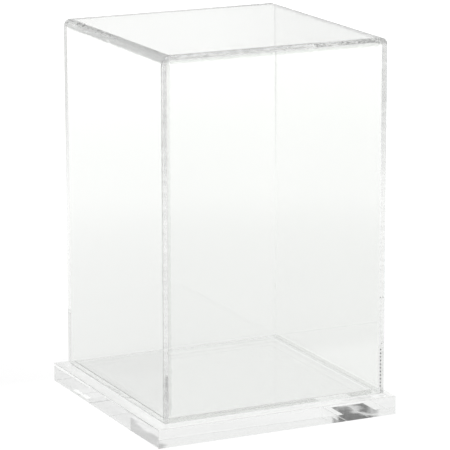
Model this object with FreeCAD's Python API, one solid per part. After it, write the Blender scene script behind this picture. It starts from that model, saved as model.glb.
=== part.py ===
"""Clear acrylic display case for one football: a lift-off cover on a stepped base.

Frame: +Z up, origin at the middle of the base's underside.
The cover is a bent sheet (left wall, top and right wall in one piece) with flat
front and back panels cemented over its cut ends. It drops over the riser plate,
which is cemented to the base plate, and rests on the base plate's border.
All lengths are in millimetres.
"""
import FreeCAD, Part
import math
import os

INCH = 25.4

# Cover: outside size, and the sheet that it is made from.
COVER_WIDTH = 8.0 * INCH
COVER_DEPTH = 8.0 * INCH
COVER_HEIGHT = 12.0 * INCH
SHEET = 4.0
BEND_OUTER_RADIUS = 6.0
BEND_INNER_RADIUS = BEND_OUTER_RADIUS - SHEET

# Base: a thick polished plate, and the riser that keeps the cover in place.
BASE_WIDTH = 220.0
BASE_DEPTH = 220.0
BASE_THICKNESS = 16.0
BASE_ARRIS = 0.6
RISER_CLEARANCE = 3.3
RISER_THICKNESS = 4.0
RISER_ARRIS = 0.3

# The loose cover stands pushed back and to the right on the riser.
COVER_SHIFT_X = 3.0
COVER_SHIFT_Y = 3.0

RISER_WIDTH = COVER_WIDTH - 2.0 * (SHEET + RISER_CLEARANCE)
RISER_DEPTH = COVER_DEPTH - 2.0 * (SHEET + RISER_CLEARANCE)


def vec(x, y, z):
    """Short name for a FreeCAD vector."""
    return FreeCAD.Vector(x, y, z)


def plate(width, depth, bottom, thickness, arris):
    """Flat plate centred on the Z axis, with every edge broken by a small chamfer."""
    corner = vec(-width / 2.0, -depth / 2.0, bottom)
    block = Part.makeBox(width, depth, thickness, corner)
    return block.makeChamfer(arris, block.Edges)


def arch_wire(half_width, height, radius, y):
    """Closed upright outline at depth y, flat at the bottom and rounded at its two top corners."""
    lean = radius * math.sin(math.radians(45.0))
    left, right = -half_width, half_width
    shoulder = height - radius
    left_bend = Part.Arc(
        vec(left, y, shoulder),
        vec(left + radius - lean, y, shoulder + lean),
        vec(left + radius, y, height),
    )
    right_bend = Part.Arc(
        vec(right - radius, y, height),
        vec(right - radius + lean, y, shoulder + lean),
        vec(right, y, shoulder),
    )
    edges = [
        Part.LineSegment(vec(left, y, 0.0), vec(left, y, shoulder)).toShape(),
        left_bend.toShape(),
        Part.LineSegment(vec(left + radius, y, height), vec(right - radius, y, height)).toShape(),
        right_bend.toShape(),
        Part.LineSegment(vec(right, y, shoulder), vec(right, y, 0.0)).toShape(),
        Part.LineSegment(vec(right, y, 0.0), vec(left, y, 0.0)).toShape(),
    ]
    return Part.Wire(edges)


def arch_block(half_width, height, radius, front, depth):
    """Solid arch that runs from the depth `front` towards +Y."""
    face = Part.Face(arch_wire(half_width, height, radius, front))
    return face.extrude(vec(0.0, depth, 0.0))


def place_cover(shape):
    """Move a shape from the cover's own frame to where the cover rests on the base."""
    moved = shape.copy()
    moved.translate(vec(COVER_SHIFT_X, COVER_SHIFT_Y, BASE_THICKNESS))
    return moved


def make_base_plate():
    """Thick clear plate that everything stands on."""
    return plate(BASE_WIDTH, BASE_DEPTH, 0.0, BASE_THICKNESS, BASE_ARRIS)


def make_riser_plate():
    """Thin plate, cemented to the base plate, that the cover drops over."""
    return plate(RISER_WIDTH, RISER_DEPTH, BASE_THICKNESS, RISER_THICKNESS, RISER_ARRIS)


def make_cover_wrap():
    """Left wall, top and right wall, bent from one sheet."""
    front = -COVER_DEPTH / 2.0 + SHEET
    depth = COVER_DEPTH - 2.0 * SHEET
    outside = arch_block(COVER_WIDTH / 2.0, COVER_HEIGHT, BEND_OUTER_RADIUS, front, depth)
    inside = arch_block(
        COVER_WIDTH / 2.0 - SHEET,
        COVER_HEIGHT - SHEET,
        BEND_INNER_RADIUS,
        front,
        depth,
    )
    return place_cover(outside.cut(inside))


def make_cover_panel(front):
    """Flat end panel, trimmed flush with the bent sheet, whose outer face is at `front`."""
    panel = arch_block(COVER_WIDTH / 2.0, COVER_HEIGHT, BEND_OUTER_RADIUS, front, SHEET)
    return place_cover(panel)


def make_parts():
    """Every piece of the display case, by node name."""
    return {
        "base_plate": make_base_plate(),
        "riser_plate": make_riser_plate(),
        "cover_wrap": make_cover_wrap(),
        "cover_front_panel": make_cover_panel(-COVER_DEPTH / 2.0),
        "cover_back_panel": make_cover_panel(COVER_DEPTH / 2.0 - SHEET),
    }


def main():
    """Write one STEP file per piece."""
    os.makedirs("parts", exist_ok=True)
    for name, shape in make_parts().items():
        shape.exportStep(os.path.join("parts", name + ".step"))
        print(name, "valid", shape.isValid(), "volume", round(shape.Volume, 1))


main()
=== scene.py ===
"""Looks of the clear acrylic display case: glass-clear sheet, cemented seams, polished edges.

The cover and base are rebuilt piece by piece inside their CAD boxes, so that the faces that are
cemented together pass light straight on, as solvent-welded acrylic does, and every other face
bends and mirrors it. All lengths are in metres unless a name says millimetres.
"""
import math

import bmesh
import bpy
from mathutils import Matrix, Vector, noise


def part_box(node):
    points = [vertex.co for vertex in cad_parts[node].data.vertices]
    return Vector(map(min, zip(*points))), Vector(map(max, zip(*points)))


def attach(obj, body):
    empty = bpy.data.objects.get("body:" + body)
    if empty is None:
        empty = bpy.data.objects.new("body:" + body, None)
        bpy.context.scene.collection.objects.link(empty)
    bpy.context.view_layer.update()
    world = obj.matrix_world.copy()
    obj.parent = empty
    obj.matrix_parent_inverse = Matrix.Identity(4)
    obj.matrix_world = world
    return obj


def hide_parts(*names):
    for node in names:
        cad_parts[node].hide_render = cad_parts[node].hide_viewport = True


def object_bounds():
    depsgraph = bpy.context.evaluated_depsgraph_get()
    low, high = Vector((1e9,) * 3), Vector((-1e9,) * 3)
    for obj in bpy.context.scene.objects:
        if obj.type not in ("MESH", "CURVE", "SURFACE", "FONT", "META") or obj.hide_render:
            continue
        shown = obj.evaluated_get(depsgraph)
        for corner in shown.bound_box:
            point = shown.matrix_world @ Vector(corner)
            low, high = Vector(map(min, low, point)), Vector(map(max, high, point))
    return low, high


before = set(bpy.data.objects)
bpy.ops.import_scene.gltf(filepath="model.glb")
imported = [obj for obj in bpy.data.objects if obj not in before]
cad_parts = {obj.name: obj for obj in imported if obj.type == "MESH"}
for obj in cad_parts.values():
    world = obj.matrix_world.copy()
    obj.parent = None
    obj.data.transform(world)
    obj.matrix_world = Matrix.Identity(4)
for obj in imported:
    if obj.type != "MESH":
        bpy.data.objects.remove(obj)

CAD_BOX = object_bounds()
MM = 0.001

# Outer and inner bends of the cover's sheet, and the small roundings of its edges.
BEND_OUTER_RADIUS = 6.0 * MM
BEND_INNER_RADIUS = 2.0 * MM
BEND_STEPS = 72
SHEET_ARRIS = 0.30 * MM
SEAM_GROOVE = 0.06 * MM
BASE_ARRIS = 0.15 * MM
ARRIS_STEPS = 2

# Air left under the cover's foot, so that its edge mirrors light as it does where it stands.
FOOT_GAP = 0.1 * MM

# Clear acrylic: the tint of one surface of the cover and of the base, the wipe marks' greatest
# roughness and how finely they run along X, Y and Z, and the sheet's very slight waviness.
ACRYLIC_IOR = 1.49
SHEET_TINT = (0.908, 0.915, 0.905, 1.0)
BLOCK_TINT = (0.945, 0.951, 0.943, 1.0)
WIPE_ROUGHNESS = 0.02
WIPE_GRAIN = (900.0, 900.0, 60.0)
WIPE_RANGE = (0.45, 0.75)
WAVE_GRAIN = 14.0
WAVE_STRENGTH = 0.02
WAVE_DEPTH = 2.0 * MM

# Haze that bending leaves in the sheet: least at the front end, least from the middle to the back,
# and most. It varies in streaks, and starts softly where the bend does.
BEND_HAZE = (0.55, 0.25, 0.75)
BEND_STREAKS = (900.0, 110.0, 900.0)
STREAK_RANGE = (0.40, 0.60)
BEND_SOFTNESS = 1.5 * MM

# Roughness of the base's polished sides and of its arrises, each with how much its faces look up
# or down: nothing on an upright face, one on a level one.
SIDE_ROUGHNESS = 0.008
SIDE_TILT = (0.02, 0.10)
ARRIS_ROUGHNESS = 0.35
ARRIS_TILT = (0.05, 0.15, 0.97, 0.99)

# Ragged fillet of cement in the front inside corners: its smallest and largest leg, its largest
# leg in the bend, the length of its facets, the air that keeps it off the sheets, and how fast its
# raggedness varies along it.
BEAD_LEGS = (2.0 * MM, 4.2 * MM)
BEAD_LEG_AT_BEND = 1.8 * MM
BEAD_STEP = 1.5 * MM
BEAD_GAP = 0.1 * MM
BEAD_RAGGEDNESS = 0.37
BEAD_SEEDS = ((0.0, 7.0), (40.0, 7.0))
# Its milky share between the cloudy spots and in them, on the upright and along the top, and how
# far below the top the one turns into the other.
BEAD_GRAIN = 520.0
BEAD_RANGE = (0.35, 0.65)
BEAD_CLOUD = (0.02, 0.18)
TOP_BEAD_CLOUD = (0.08, 0.30)
BEAD_TOP_FADE = (14.0 * MM, 10.0 * MM)
BEAD_CLEAR = (0.978, 0.98, 0.978, 1.0)
BEAD_MILK = (0.63, 0.63, 0.63, 1.0)
BEAD_ROUGHNESS = 0.5

# How much light each cemented seam lets through, from its cloudy to its clear spots. The cover's
# upright seams differ in their upper part, and the left one is also darker close to its foot:
# painted shade that stands in for the cover's foot mirrored in the sheet.
SEAM_GRAIN = (150.0, 400.0, 420.0)
SEAM_RANGE = (0.40, 0.62)
TOP_SEAM = (0.58, 0.76)
TOP_RIGHT_SEAM = (0.93, 0.99)
LEFT_SEAM = (0.88, 0.95)
LEFT_SEAM_HIGH = (0.76, 0.86)
# Painted shade: the left seam's darker foot stands in for the cover's foot mirrored in the sheet.
LEFT_SEAM_FOOT_SHADE = (0.84, 0.91)
RIGHT_SEAM = (0.94, 0.99)
RIGHT_SEAM_HIGH = (0.90, 0.97)
BACK_SEAM = (0.985, 0.998)
BACK_SEAM_HIGH = (0.88, 0.92)
CORNER_SEAM = (0.93, 0.99)
RISER_SEAM = (0.97, 0.985)
# Where the top seam grows clearer across the case, where the upright seams turn to their upper
# part, and where the painted shade at the left one's foot ends.
TOP_CLEARS = (30.0 * MM, 45.0 * MM)
UPPER_PART = (160.0 * MM, 250.0 * MM)
FOOT_SHADE_PART = (56.0 * MM, 64.0 * MM)
# Distances from the outer faces between which the left and top seams hand over to the others, and
# how near the middle the front half of the case turns into the back half.
SEAM_BAND = (4.5 * MM, 5.5 * MM)
HALVES_MEET = 10.0 * MM

# Small bubbles in the cover's seams.
BUBBLE_GRAIN = 90.0
BUBBLE_EDGE = (0.03, 0.05)
BUBBLE_MILK = (0.6, 0.62, 0.6, 1.0)
BUBBLE_ROUGHNESS = 0.4

# Trapped air in the front seam of the right wall: a row of round dots, with the height of its
# middle, the distance between dots, how many there are, how large they are, how soft their rim is,
# and how much light a dot lets through.
DOT_ROW_HEIGHT = 38.0 * MM
DOT_PITCH = 3.2 * MM
DOT_COUNT = 11
DOT_RADIUS = 0.62 * MM
DOT_RIM = (0.85, 1.15)
DOT_LEVEL = 0.1

# Slanting strokes of cement near the right end of the front top seam: where they start across the
# case and are complete, their distance, their half width, how soft their rim is, and how much
# light they let through.
STROKE_START = 70.0 * MM
STROKE_COMPLETE = 75.0 * MM
STROKE_PITCH = 4.5 * MM
STROKE_HALF = 0.7 * MM
STROKE_RIM = (-1.4, -0.6, 0.6, 1.4)
STROKE_LEVEL = 0.75

# Pressed spots on the left bend near the back: distance of the first from the back end, pitch,
# half length, half height, how soft their rim is, how far the first may reach, how far they lie
# below the top, and how far from the back end they start to fade, are faint and are gone.
SPOT_START = 20.5 * MM
SPOT_PITCH = 11.5 * MM
SPOT_HALF_LENGTH = 2.2 * MM
SPOT_HALF_HEIGHT = 0.9 * MM
SPOT_RIM = (0.6, 1.2)
SPOT_REACH = 4.0 * MM
SPOT_DROP = 0.8 * MM
SPOT_FADE = (33.0 * MM, 38.0 * MM, 73.0 * MM)
SPOT_FAINT = 0.2
SPOT_DEPTH = 0.75
SPOT_TINT = (0.02, 0.02, 0.02, 1.0)

# Camera: its direction round the case and its tilt in degrees, how far it stands from the middle
# of the base's top, how far it is aimed right of it and above it, and its lens in millimetres.
CAMERA_AZIMUTH = 25.782
CAMERA_ELEVATION = 13.39
CAMERA_ROLL = 0.09
CAMERA_DISTANCE = 2.5143
CAMERA_RIGHT = 0.00294
CAMERA_UP = 0.13243
CAMERA_LENS = 233.894

# The floor lies a little below the base, so that their faces don't meet.
FLOOR_DROP = 0.3 * MM
FLOOR_RADIUS = 9.0
FLOOR_SIDES = 96
FLOOR_PAINT = (0.1, 0.1, 0.1, 1.0)
# Its glow behind the case, by distance in metres, and how far back that starts: painted light,
# with a painted shadow in the dip just behind the base.
FLOOR_LEVELS = (
    (0.0, 1.0), (0.10, 0.97), (0.12, 0.88), (0.15, 0.92), (0.30, 0.95), (0.47, 0.97), (0.62, 1.01),
    (0.8, 1.10), (1.1, 1.14), (1.4, 1.19), (2.0, 1.26),
)
FLOOR_BEHIND = (0.08, 0.12)
# Its glow in front of the case, on the camera's side, and where it is reached.
FRONT_LEVEL = 0.75
FLOOR_FRONT = (-0.35, -0.9)
# Share of the glow that is left well to the left of the case, and where it is reached.
LEFT_SHARE = 0.82
FLOOR_LEFT = (-0.1, -0.5)

# Brightness of the surroundings in front of the case, behind it, and low behind it from left to
# right, where the top face mirrors them. Places in the surroundings are parts of a unit direction.
FRONT_SKY = 0.87
BACK_SKY = 0.94
SKY_TURN = (-0.05, 0.05)
LOW_SKY = (0.90, 0.80)
LOW_SKY_ACROSS = (0.425, 0.455)
LOW_SKY_HEIGHT = (0.19, 0.25)
# Cards that stand behind the case: brightness, then the edges across and upwards between which
# each one is seen, and how much its upper and lower edges slant.
CARDS = (
    (0.16, (-0.4628, -0.4600, -0.4500, -0.4480), (0.286, 0.289, 0.36, 0.40), 0.0),
    (0.62, (0.36, 0.38, 0.3987, 0.3994), (0.265, 0.275, 0.291, 0.293), 0.0),
    (0.58, (0.36, 0.38, 0.395, 0.397), (-0.0925, -0.0905, 0.1, 0.2), -1.0),
)
# A gap in the first card that lets a streak of light through.
GAP_LEVEL = 0.70
GAP_SLANT = 0.5
GAP_MIDDLE = 0.06375
GAP_EDGES = (-0.0026, -0.0006, 0.0006, 0.0026)

# Bounces of light inside the clear sheets, and see-through films along one ray.
INNER_BOUNCES = 200
FILMS_PER_RAY = 64


# ---------------------------------------------------------------------------------- node helpers
def new_material(name):
    """An empty node material and its output node."""
    material = bpy.data.materials.new(name)
    material.use_nodes = True
    tree = material.node_tree
    tree.nodes.clear()
    output = tree.nodes.new("ShaderNodeOutputMaterial")
    return material, tree, output


def node(tree, kind, inputs=None, **settings):
    """Add a node, set its properties, and link or set its inputs."""
    made = tree.nodes.new("ShaderNode" + kind)
    for key, value in settings.items():
        setattr(made, key, value)
    for key, value in (inputs or {}).items():
        if isinstance(value, bpy.types.NodeSocket):
            tree.links.new(value, made.inputs[key])
        else:
            made.inputs[key].default_value = value
    return made


def position(tree):
    """The point in the object's own space, which is the row's frame at rest."""
    return node(tree, "TexCoord").outputs["Object"]


def axes(tree, vector):
    """The X, Y and Z of a vector."""
    split = node(tree, "SeparateXYZ", {0: vector})
    return [split.outputs[axis] for axis in "XYZ"]


def remap(tree, value, low, high, to_low, to_high):
    """Clamp value to low..high and stretch it to to_low..to_high."""
    inputs = {"Value": value, "From Min": low, "From Max": high, "To Min": to_low, "To Max": to_high}
    return node(tree, "MapRange", inputs).outputs["Result"]


def calculate(tree, operation, *values):
    """The result of one calculation on numbers."""
    return node(tree, "Math", dict(enumerate(values)), operation=operation).outputs[0]


def multiply(tree, first, second):
    """The product of two values."""
    return calculate(tree, "MULTIPLY", first, second)


def repeat(tree, value, pitch):
    """The value's distance from the nearest multiple of pitch."""
    return calculate(tree, "WRAP", value, pitch / 2.0, -pitch / 2.0)


def length(tree, across, along):
    """The length of a flat vector."""
    offset = node(tree, "CombineXYZ", {"X": across, "Y": along}).outputs[0]
    return node(tree, "VectorMath", {0: offset}, operation="LENGTH").outputs["Value"]


def blend(tree, share, first, second):
    """A value that goes from first to second as share goes from nothing to one."""
    return node(tree, "Mix", {"Factor": share, "A": first, "B": second}).outputs["Result"]


def window(tree, value, edges):
    """One between the two inner edges, fading to nothing at the outer ones."""
    rise = remap(tree, value, edges[0], edges[1], 0.0, 1.0)
    fall = remap(tree, value, edges[2], edges[3], 1.0, 0.0)
    return multiply(tree, rise, fall)


def grain(tree, place, scale, detail):
    """Soft noise; scale is one number, or one for each axis."""
    if isinstance(scale, tuple):
        place = node(tree, "Mapping", {"Vector": place, "Scale": scale}).outputs["Vector"]
        scale = 1.0
    return node(tree, "TexNoise", {"Vector": place, "Scale": scale, "Detail": detail}).outputs["Fac"]


def level_curve(tree, value, levels):
    """Brightness that follows a few (distance, level) pairs, and the last one beyond them."""
    reach = levels[-1][0]
    share = remap(tree, value, 0.0, reach, 0.0, 1.0)
    ramp = node(tree, "ValToRGB", {"Fac": share})
    stops = ramp.color_ramp
    top = max(level for _, level in levels)
    while len(stops.elements) < len(levels):
        stops.elements.new(0.5)
    for stop, (distance, level) in zip(stops.elements, levels):
        stop.position = distance / reach
        stop.color = (level / top, level / top, level / top, 1.0)
    return multiply(tree, ramp.outputs["Color"], top)


# ---------------------------------------------------------------------------------- materials
def corners(node_name):
    """The lowest and highest corner of a CAD node's box."""
    return [Vector(corner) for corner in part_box(node_name)]


def sheet_thickness():
    """Thickness of the cover's sheet."""
    low, high = corners("cover_front_panel")
    return high.y - low.y


def from_centre(tree, x):
    """Distance from the cover's middle plane, across the case."""
    low, high = corners("cover_wrap")
    offset = calculate(tree, "SUBTRACT", x, (low.x + high.x) / 2.0)
    return calculate(tree, "ABSOLUTE", offset)


def bend_share(tree, place):
    """One in the cover's two bends, falling to nothing where the sheet is flat."""
    low, high = corners("cover_wrap")
    flat_half = (high.x - low.x) / 2.0 - BEND_OUTER_RADIUS
    flat_top = high.z - BEND_OUTER_RADIUS
    x, _, z = axes(tree, place)
    across = from_centre(tree, x)
    side = remap(tree, across, flat_half - BEND_SOFTNESS, flat_half + BEND_SOFTNESS, 0.0, 1.0)
    top = remap(tree, z, flat_top - BEND_SOFTNESS, flat_top + BEND_SOFTNESS, 0.0, 1.0)
    return multiply(tree, side, top)


def bend_haze(tree, place):
    """Streaky roughness of the bends, more even towards the front."""
    low, high = corners("cover_wrap")
    _, y, _ = axes(tree, place)
    least = remap(tree, y, low.y, 0.5 * (low.y + high.y), BEND_HAZE[0], BEND_HAZE[1])
    streaks = remap(tree, grain(tree, place, BEND_STREAKS, 2.0), *STREAK_RANGE, 0.0, 1.0)
    uneven = blend(tree, streaks, least, BEND_HAZE[2])
    return multiply(tree, bend_share(tree, place), uneven)


def bend_spots(tree, place):
    """One in the pressed spots of the left bend, fading towards the front."""
    low, high = corners("cover_wrap")
    x, y, z = axes(tree, place)
    from_back = calculate(tree, "SUBTRACT", high.y, y)
    offset = repeat(tree, calculate(tree, "SUBTRACT", from_back, SPOT_START), SPOT_PITCH)
    along = calculate(tree, "DIVIDE", offset, SPOT_HALF_LENGTH)
    height = calculate(tree, "SUBTRACT", z, high.z - SPOT_DROP)
    across = calculate(tree, "DIVIDE", height, SPOT_HALF_HEIGHT)
    spot = remap(tree, length(tree, along, across), *SPOT_RIM, SPOT_DEPTH, 0.0)
    first = remap(tree, from_back, SPOT_START - SPOT_PITCH / 2.0, SPOT_START - SPOT_REACH, 0.0, 1.0)
    fade = remap(tree, from_back, SPOT_FADE[0], SPOT_FADE[1], 1.0, SPOT_FAINT)
    gone = remap(tree, from_back, SPOT_FADE[1], SPOT_FADE[2], 1.0, 0.0)
    bend_end = low.x + BEND_OUTER_RADIUS
    left = remap(tree, x, bend_end - 1.0 * MM, bend_end, 1.0, 0.0)
    spot = multiply(tree, multiply(tree, spot, first), fade)
    return multiply(tree, spot, multiply(tree, gone, left))


def side_roughness(tree):
    """Roughness that the base's upright faces and its arrises have on top of the polish."""
    normal = node(tree, "TexCoord").outputs["Normal"]
    steep = calculate(tree, "ABSOLUTE", axes(tree, normal)[2])
    side = remap(tree, steep, *SIDE_TILT, SIDE_ROUGHNESS, 0.0)
    arris = multiply(tree, window(tree, steep, ARRIS_TILT), ARRIS_ROUGHNESS)
    return calculate(tree, "ADD", side, arris)


def acrylic(name, tint, bends):
    """Clear polished sheet with faint wipe marks and a very slight waviness, bent or flat."""
    material, tree, output = new_material(name)
    place = position(tree)
    wipes = remap(tree, grain(tree, place, WIPE_GRAIN, 3.0), *WIPE_RANGE, 0.0, WIPE_ROUGHNESS)
    extra = bend_haze(tree, place) if bends else side_roughness(tree)
    if bends:
        tint = node(tree, "MixRGB", {0: bend_spots(tree, place), 1: tint, 2: SPOT_TINT}).outputs[0]
    waves = grain(tree, place, WAVE_GRAIN, 2.0)
    wavy = node(tree, "Bump", {"Height": waves, "Strength": WAVE_STRENGTH, "Distance": WAVE_DEPTH})
    surface = node(tree, "BsdfPrincipled", {
        "Base Color": tint,
        "Roughness": calculate(tree, "ADD", wipes, extra),
        "IOR": ACRYLIC_IOR,
        "Transmission Weight": 1.0,
        "Normal": wavy.outputs["Normal"],
    })
    tree.links.new(surface.outputs["BSDF"], output.inputs["Surface"])
    return material


def dot_row(tree, x, z):
    """One inside each dot of the row of trapped air in the right wall's seam."""
    low, high = corners("cover_wrap")
    sideways = calculate(tree, "SUBTRACT", x, high.x - 0.5 * sheet_thickness())
    along = calculate(tree, "SUBTRACT", z, DOT_ROW_HEIGHT)
    half_row = DOT_COUNT * DOT_PITCH / 2.0
    past_row = half_row + 0.01 * MM
    in_row = window(tree, along, (-past_row, -half_row, half_row, past_row))
    reach = length(tree, sideways, repeat(tree, along, DOT_PITCH))
    dot = remap(tree, reach, DOT_RIM[0] * DOT_RADIUS, DOT_RIM[1] * DOT_RADIUS, 1.0, 0.0)
    return multiply(tree, dot, in_row)


def corner_strokes(tree, x, z):
    """One in the slanting strokes of cement at the right end of the top seam."""
    slope = repeat(tree, calculate(tree, "SUBTRACT", x, z), STROKE_PITCH)
    stroke = window(tree, slope, [share * STROKE_HALF for share in STROKE_RIM])
    reached = remap(tree, x, STROKE_START, STROKE_COMPLETE, 0.0, 1.0)
    return multiply(tree, stroke, reached)


def cloudiness(tree, place):
    """Nothing in the cloudy spots of a seam, one in the clear ones."""
    return remap(tree, grain(tree, place, SEAM_GRAIN, 4.0), *SEAM_RANGE, 0.0, 1.0)


def cover_cement():
    """Solvent-welded seam of the cover: light passes straight on, dimmed where it is cloudy."""
    material, tree, output = new_material("cement_film")
    low, high = corners("cover_wrap")
    place = position(tree)
    x, y, z = axes(tree, place)
    left = remap(tree, x, low.x + SEAM_BAND[0], low.x + SEAM_BAND[1], 1.0, 0.0)
    top = remap(tree, z, high.z - SEAM_BAND[1], high.z - SEAM_BAND[0], 0.0, 1.0)
    right = remap(tree, x, *TOP_CLEARS, 0.0, 1.0)
    back = remap(tree, y, -HALVES_MEET, HALVES_MEET, 0.0, 1.0)
    front = remap(tree, y, -HALVES_MEET, HALVES_MEET, 1.0, 0.0)
    upper = remap(tree, z, *UPPER_PART, 0.0, 1.0)
    # Painted shade: below this height the left seam lets less light through, standing in for the
    # mirrored foot.
    foot = remap(tree, z, *FOOT_SHADE_PART, 1.0, 0.0)
    bend = bend_share(tree, place)
    limits = []
    for index in (0, 1):
        left_limit = blend(tree, upper, LEFT_SEAM[index], LEFT_SEAM_HIGH[index])
        # Painted shade near the left seam's foot.
        left_limit = blend(tree, foot, left_limit, LEFT_SEAM_FOOT_SHADE[index])
        right_limit = blend(tree, upper, RIGHT_SEAM[index], RIGHT_SEAM_HIGH[index])
        top_limit = blend(tree, right, TOP_SEAM[index], TOP_RIGHT_SEAM[index])
        front_limit = blend(tree, top, blend(tree, left, right_limit, left_limit), top_limit)
        back_limit = blend(tree, upper, BACK_SEAM[index], BACK_SEAM_HIGH[index])
        flat_limit = blend(tree, back, front_limit, back_limit)
        limits.append(blend(tree, bend, flat_limit, CORNER_SEAM[index]))
    passed = blend(tree, cloudiness(tree, place), limits[0], limits[1])
    passed = blend(tree, multiply(tree, dot_row(tree, x, z), front), passed, DOT_LEVEL)
    strokes = multiply(tree, corner_strokes(tree, x, z), multiply(tree, top, front))
    passed = blend(tree, strokes, passed, STROKE_LEVEL)
    clear = node(tree, "BsdfTransparent", {"Color": passed})
    cells = node(tree, "TexVoronoi", {"Vector": place, "Scale": BUBBLE_GRAIN}).outputs["Distance"]
    bubble = remap(tree, cells, *BUBBLE_EDGE, 1.0, 0.0)
    milky = node(tree, "BsdfPrincipled", {"Base Color": BUBBLE_MILK, "Roughness": BUBBLE_ROUGHNESS})
    mixed = node(tree, "MixShader", {0: bubble, 1: clear.outputs[0], 2: milky.outputs[0]})
    tree.links.new(mixed.outputs[0], output.inputs["Surface"])
    return material


def riser_cement():
    """Solvent-welded face between the base and the riser."""
    material, tree, output = new_material("riser_cement")
    passed = blend(tree, cloudiness(tree, position(tree)), RISER_SEAM[0], RISER_SEAM[1])
    clear = node(tree, "BsdfTransparent", {"Color": passed})
    tree.links.new(clear.outputs[0], output.inputs["Surface"])
    return material


def bead_cement():
    """Squeezed-out cement: cloudy in patches, clearer between them and at its thin rim."""
    material, tree, output = new_material("cement_bead")
    low, high = corners("cover_wrap")
    sheet = sheet_thickness()
    place = position(tree)
    x, _, z = axes(tree, place)
    cloud = grain(tree, place, BEAD_GRAIN, 3.0)
    upright = remap(tree, cloud, *BEAD_RANGE, *BEAD_CLOUD)
    along_top = remap(tree, cloud, *BEAD_RANGE, *TOP_BEAD_CLOUD)
    near_top = remap(tree, z, high.z - BEAD_TOP_FADE[0], high.z - BEAD_TOP_FADE[1], 0.0, 1.0)
    half = (high.x - low.x) / 2.0 - sheet
    ceiling = high.z - sheet
    beside = remap(tree, from_centre(tree, x), half - BEAD_LEGS[1], half, 0.0, 1.0)
    above = remap(tree, z, ceiling - BEAD_LEGS[1], ceiling, 0.0, 1.0)
    thick = calculate(tree, "MAXIMUM", beside, above)
    share = multiply(tree, blend(tree, near_top, upright, along_top), thick)
    clear = node(tree, "BsdfTransparent", {"Color": BEAD_CLEAR})
    milky = node(tree, "BsdfPrincipled", {"Base Color": BEAD_MILK, "Roughness": BEAD_ROUGHNESS})
    mixed = node(tree, "MixShader", {0: share, 1: clear.outputs[0], 2: milky.outputs[0]})
    tree.links.new(mixed.outputs[0], output.inputs["Surface"])
    return material


# ---------------------------------------------------------------------------------- mesh helpers
def arch_points(half_width, height, radius, base):
    """Outline of the arch in X and Z, from the bottom left, over the top, to the bottom right."""
    points = [(-half_width, base)]
    for side, start in ((-1.0, math.pi), (1.0, math.pi / 2.0)):
        centre_x = side * (half_width - radius)
        centre_z = base + height - radius
        for step in range(BEND_STEPS + 1):
            angle = start - step / BEND_STEPS * math.pi / 2.0
            points.append((centre_x + radius * math.cos(angle), centre_z + radius * math.sin(angle)))
    points.append((half_width, base))
    return points


def walk(points, step):
    """Points at even steps along an outline, each with the direction to its right."""
    walked = []
    for first, second in zip(points[:-1], points[1:]):
        start, end = Vector(first), Vector(second)
        stretch = (end - start).length
        along = (end - start) / stretch
        pieces = max(1, round(stretch / step))
        for index in range(pieces):
            walked.append((start + along * (stretch * index / pieces), Vector((along.y, -along.x))))
    walked.append((Vector(points[-1]), walked[-1][1]))
    return walked


def start_piece():
    """An empty mesh whose edges can say how much they are rounded."""
    mesh = bmesh.new()
    mesh.edges.layers.float.new("bevel_weight_edge")
    return mesh


def ring(mesh, points, centre_x, y):
    """Vertices of an outline at the depth y."""
    return [mesh.verts.new((centre_x + x, y, z)) for x, z in points]


def bridge(mesh, first, second, material_index=0):
    """Quads between two outlines with equally many points."""
    for index in range(len(first) - 1):
        quad = (first[index], first[index + 1], second[index + 1], second[index])
        mesh.faces.new(quad).material_index = material_index


def weigh_edges(mesh, edges, weight):
    """Set how much of the bevel's width these edges get."""
    layer = mesh.edges.layers.float["bevel_weight_edge"]
    for edge in edges:
        edge[layer] = weight


def chain_edges(mesh, vertices):
    """The edges between neighbouring vertices of an outline."""
    pairs = zip(vertices[:-1], vertices[1:])
    return [edge for edge in (mesh.edges.get(pair) for pair in pairs) if edge is not None]


def finish_piece(mesh, name, materials, body, node_name=None, arris=0.0):
    """Turn a bmesh into a piece that rides on a body and may stand for a CAD node."""
    bmesh.ops.recalc_face_normals(mesh, faces=mesh.faces)
    data = bpy.data.meshes.new(name)
    mesh.to_mesh(data)
    mesh.free()
    for material in materials:
        data.materials.append(material)
    piece = bpy.data.objects.new(name, data)
    bpy.context.scene.collection.objects.link(piece)
    if arris:
        bevel = piece.modifiers.new("arris", "BEVEL")
        bevel.limit_method = "WEIGHT"
        bevel.width = arris
        bevel.segments = ARRIS_STEPS
    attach(piece, body)
    if node_name:
        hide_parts(node_name)


# ---------------------------------------------------------------------------------- pieces
def corner_ring(mesh, low, high, z):
    """Four vertices of a level rectangle."""
    flat = ((low.x, low.y), (high.x, low.y), (high.x, high.y), (low.x, high.y))
    return [mesh.verts.new((x, y, z)) for x, y in flat]


def skirt(mesh, first, second):
    """Quads all the way round between two closed rings."""
    for index in range(len(first)):
        after = (index + 1) % len(first)
        mesh.faces.new((first[index], first[after], second[after], second[index]))


def make_base(materials):
    """Thick square plate; the patch of its top under the riser is cemented."""
    low, high = corners("base_plate")
    patch_low, patch_high = corners("riser_plate")
    mesh = start_piece()
    bottom = corner_ring(mesh, low, high, low.z)
    top = corner_ring(mesh, low, high, high.z)
    patch = corner_ring(mesh, patch_low, patch_high, high.z)
    skirt(mesh, bottom, top)
    skirt(mesh, top, patch)
    mesh.faces.new(patch).material_index = 1
    mesh.faces.new(bottom[::-1])
    uprights = [mesh.edges.get(pair) for pair in zip(bottom, top)]
    rims = chain_edges(mesh, bottom + bottom[:1]) + chain_edges(mesh, top + top[:1])
    weigh_edges(mesh, rims + uprights, 1.0)
    finish_piece(mesh, "base_plate_clear", materials, "base", "base_plate", BASE_ARRIS)


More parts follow.
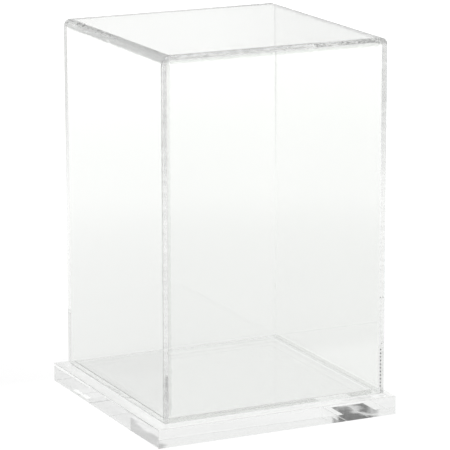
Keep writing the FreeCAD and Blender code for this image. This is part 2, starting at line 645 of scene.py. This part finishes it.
def make_riser(materials):
    """Thin square plate, cemented all over its underside."""
    low, high = corners("riser_plate")
    mesh = start_piece()
    bottom = corner_ring(mesh, low, high, low.z)
    top = corner_ring(mesh, low, high, high.z)
    skirt(mesh, bottom, top)
    mesh.faces.new(top)
    mesh.faces.new(bottom[::-1]).material_index = 1
    weigh_edges(mesh, chain_edges(mesh, top + top[:1]), 1.0)
    finish_piece(
        mesh, "riser_plate_clear", materials, "base", "riser_plate", SHEET_ARRIS
    )


def sheet_outlines(low, high):
    """The cover's section across the case: outside, inside, and where its middle is."""
    sheet = sheet_thickness()
    half_width = (high.x - low.x) / 2.0
    foot = low.z + FOOT_GAP
    height = high.z - foot
    outer = arch_points(half_width, height, BEND_OUTER_RADIUS, foot)
    inner = arch_points(half_width - sheet, height - sheet, BEND_INNER_RADIUS, foot)
    return outer, inner, (low.x + high.x) / 2.0


def make_wrap(materials):
    """Left wall, top and right wall, bent from one sheet; its two cut ends are cemented."""
    low, high = corners("cover_wrap")
    outer, inner, centre_x = sheet_outlines(low, high)
    mesh = start_piece()
    outer_front = ring(mesh, outer, centre_x, low.y)
    inner_front = ring(mesh, inner, centre_x, low.y)
    outer_back = ring(mesh, outer, centre_x, high.y)
    inner_back = ring(mesh, inner, centre_x, high.y)
    bridge(mesh, outer_front, outer_back)
    bridge(mesh, inner_front, inner_back)
    bridge(mesh, outer_front, inner_front, 1)
    bridge(mesh, outer_back, inner_back, 1)
    for end in (0, -1):
        mesh.faces.new((outer_front[end], outer_back[end], inner_back[end], inner_front[end]))
    for outline in (outer_front, outer_back):
        weigh_edges(mesh, chain_edges(mesh, outline), SEAM_GROOVE / SHEET_ARRIS)
    for end in (0, -1):
        feet = [
            mesh.edges.get((outer_front[end], outer_back[end])),
            mesh.edges.get((inner_front[end], inner_back[end])),
        ]
        weigh_edges(mesh, feet, 1.0)
    finish_piece(
        mesh, "cover_wrap_clear", materials, "cover", "cover_wrap", SHEET_ARRIS
    )


def make_panel(node_name, outer_side, materials):
    """Flat end panel; the band that covers the wrap's cut end is cemented."""
    low, high = corners(node_name)
    outer, inner, centre_x = sheet_outlines(low, high)
    outer_y, inner_y = (low.y, high.y) if outer_side == "front" else (high.y, low.y)
    mesh = start_piece()
    face_ring = ring(mesh, outer, centre_x, outer_y)
    seam_ring = ring(mesh, outer, centre_x, inner_y)
    window_ring = ring(mesh, inner, centre_x, inner_y)
    mesh.faces.new(face_ring)
    bridge(mesh, face_ring, seam_ring)
    bridge(mesh, seam_ring, window_ring, 1)
    mesh.faces.new(window_ring)
    mesh.faces.new((
        face_ring[0], face_ring[-1], seam_ring[-1], window_ring[-1], window_ring[0], seam_ring[0],
    ))
    weigh_edges(mesh, chain_edges(mesh, face_ring + face_ring[:1]), 1.0)
    weigh_edges(mesh, chain_edges(mesh, seam_ring), SEAM_GROOVE / SHEET_ARRIS)
    finish_piece(
        mesh, node_name + "_clear", materials, "cover", node_name, SHEET_ARRIS
    )


def bead_legs(travelled):
    """Lengths of the bead's two legs at a distance along it."""
    lengths = []
    for seed in BEAD_SEEDS:
        place = Vector((travelled / BEAD_STEP * BEAD_RAGGEDNESS, *seed))
        share = 0.5 + 0.5 * noise.noise(place)
        lengths.append(BEAD_LEGS[0] + (BEAD_LEGS[1] - BEAD_LEGS[0]) * share)
    return lengths


def make_bead(material):
    """Ragged fillet of cement behind the front panel, up the left wall and along the top."""
    low, high = corners("cover_front_panel")
    centre_x = (low.x + high.x) / 2.0
    inset = sheet_thickness() + BEAD_GAP
    half_width = (high.x - low.x) / 2.0 - inset
    foot = corners("riser_plate")[1].z + BEAD_STEP
    height = high.z - inset - foot
    panel_y = high.y + BEAD_GAP
    to_right_bend = arch_points(half_width, height, BEND_INNER_RADIUS, foot)[:BEND_STEPS + 3]
    outline = walk(to_right_bend, BEAD_STEP)
    flat_half = half_width - BEND_INNER_RADIUS
    flat_top = foot + height - BEND_INNER_RADIUS
    mesh = start_piece()
    rows = []
    travelled = 0.0
    previous = outline[0][0]
    for point, right in outline:
        travelled += (point - previous).length
        previous = point
        inner_leg, back_leg = bead_legs(travelled)
        from_bend = max(0.0, flat_half - abs(point.x), flat_top - point.y)
        tip = point + right * min(inner_leg, BEAD_LEG_AT_BEND + from_bend)
        rows.append((
            mesh.verts.new((centre_x + point.x, panel_y, point.y)),
            mesh.verts.new((centre_x + tip.x, panel_y, tip.y)),
            mesh.verts.new((centre_x + point.x, panel_y + back_leg, point.y)),
        ))
    for first, second in zip(rows[:-1], rows[1:]):
        skirt(mesh, first, second)
    mesh.faces.new(rows[0])
    mesh.faces.new(rows[-1])
    finish_piece(mesh, "cement_bead_front", [material], "cover")


# ---------------------------------------------------------------------------------- studio
def make_floor():
    """Pale round floor that glows as painted light: darker in front of the case, with a painted
    shadow just behind the base, and slowly brighter far behind it.
    """
    mesh = bmesh.new()
    bmesh.ops.create_circle(mesh, cap_ends=True, segments=FLOOR_SIDES, radius=FLOOR_RADIUS)
    data = bpy.data.meshes.new("studio_floor")
    mesh.to_mesh(data)
    mesh.free()
    floor = bpy.data.objects.new("studio_floor", data)
    floor.location.z = CAD_BOX[0].z - FLOOR_DROP
    bpy.context.scene.collection.objects.link(floor)
    material, tree, output = new_material("pale_floor")
    place = position(tree)
    x, y, _ = axes(tree, place)
    # Painted light: the floor's glow, with a painted shadow in the dip just behind the base.
    glow = level_curve(tree, length(tree, x, y), FLOOR_LEVELS)
    left = remap(tree, x, *FLOOR_LEFT, 1.0, LEFT_SHARE)
    behind = remap(tree, y, *FLOOR_BEHIND, 0.0, 1.0)
    front = remap(tree, y, *FLOOR_FRONT, 0.0, 1.0)
    glow = blend(tree, behind, 1.0, multiply(tree, glow, left))
    glow = blend(tree, front, glow, FRONT_LEVEL)
    light = node(tree, "Emission", {"Color": (1.0, 1.0, 1.0, 1.0), "Strength": glow})
    paint = node(tree, "BsdfDiffuse", {"Color": FLOOR_PAINT})
    both = node(tree, "AddShader", {0: paint.outputs[0], 1: light.outputs[0]})
    tree.links.new(both.outputs[0], output.inputs["Surface"])
    data.materials.append(material)


def slanted(tree, across, height, slant):
    """Height that also changes by slant per unit across."""
    return calculate(tree, "MULTIPLY_ADD", across, slant, height)


def make_world():
    """Even, nearly white surroundings with three cards behind the case."""
    world = bpy.data.worlds.new("studio")
    bpy.context.scene.world = world
    world.use_nodes = True
    tree = world.node_tree
    tree.nodes.clear()
    output = tree.nodes.new("ShaderNodeOutputWorld")
    across, depth, height = axes(tree, node(tree, "TexCoord").outputs["Generated"])
    behind = remap(tree, depth, *SKY_TURN, 0.0, 1.0)
    level = blend(tree, behind, FRONT_SKY, BACK_SKY)
    low = multiply(tree, remap(tree, height, *LOW_SKY_HEIGHT, 1.0, 0.0), behind)
    low_level = remap(tree, across, *LOW_SKY_ACROSS, *LOW_SKY)
    level = blend(tree, low, level, low_level)
    along_gap = slanted(tree, across, height, GAP_SLANT)
    gap = window(tree, along_gap, [GAP_MIDDLE + edge for edge in GAP_EDGES])
    for index, (card_level, across_edges, height_edges, slant) in enumerate(CARDS):
        raised = slanted(tree, across, height, slant)
        share = multiply(tree, window(tree, across, across_edges), window(tree, raised, height_edges))
        shown = blend(tree, gap, card_level, GAP_LEVEL) if index == 0 else card_level
        level = blend(tree, multiply(tree, share, behind), level, shown)
    background = node(tree, "Background", {"Color": (1.0, 1.0, 1.0, 1.0), "Strength": level})
    tree.links.new(background.outputs[0], output.inputs["Surface"])


def make_camera():
    """Camera to the front left, a little above, with a long lens."""
    azimuth = math.radians(CAMERA_AZIMUTH)
    elevation = math.radians(CAMERA_ELEVATION)
    roll = math.radians(CAMERA_ROLL)
    back = Vector((
        -math.sin(azimuth) * math.cos(elevation),
        -math.cos(azimuth) * math.cos(elevation),
        math.sin(elevation),
    ))
    level = Vector((math.cos(azimuth), -math.sin(azimuth), 0.0))
    upright = back.cross(level)
    right = level * math.cos(roll) - upright * math.sin(roll)
    up = level * math.sin(roll) + upright * math.cos(roll)
    middle = Vector((0.0, 0.0, corners("base_plate")[1].z))
    data = bpy.data.cameras.new("photo_view")
    data.lens = CAMERA_LENS
    camera = bpy.data.objects.new("photo_view", data)
    camera.matrix_world = Matrix((right, up, back)).transposed().to_4x4()
    camera.location = middle + right * CAMERA_RIGHT + up * CAMERA_UP + back * CAMERA_DISTANCE
    bpy.context.scene.collection.objects.link(camera)
    bpy.context.scene.camera = camera


def make_case():
    """Every piece of the display case."""
    block = [acrylic("base_block", BLOCK_TINT, False), riser_cement()]
    make_base(block)
    make_riser(block)
    sheet = [acrylic("cover_sheet", SHEET_TINT, True), cover_cement()]
    make_wrap(sheet)
    make_panel("cover_front_panel", "front", sheet)
    make_panel("cover_back_panel", "back", sheet)
    make_bead(bead_cement())


def set_light_paths():
    """Plain colours, and enough bounces for light that runs along inside the clear sheet."""
    scene = bpy.context.scene
    scene.view_settings.view_transform = "Standard"
    scene.cycles.max_bounces = INNER_BOUNCES
    scene.cycles.transmission_bounces = INNER_BOUNCES
    scene.cycles.glossy_bounces = INNER_BOUNCES
    scene.cycles.transparent_max_bounces = FILMS_PER_RAY


make_floor()
make_world()
make_camera()
make_case()
set_light_paths()
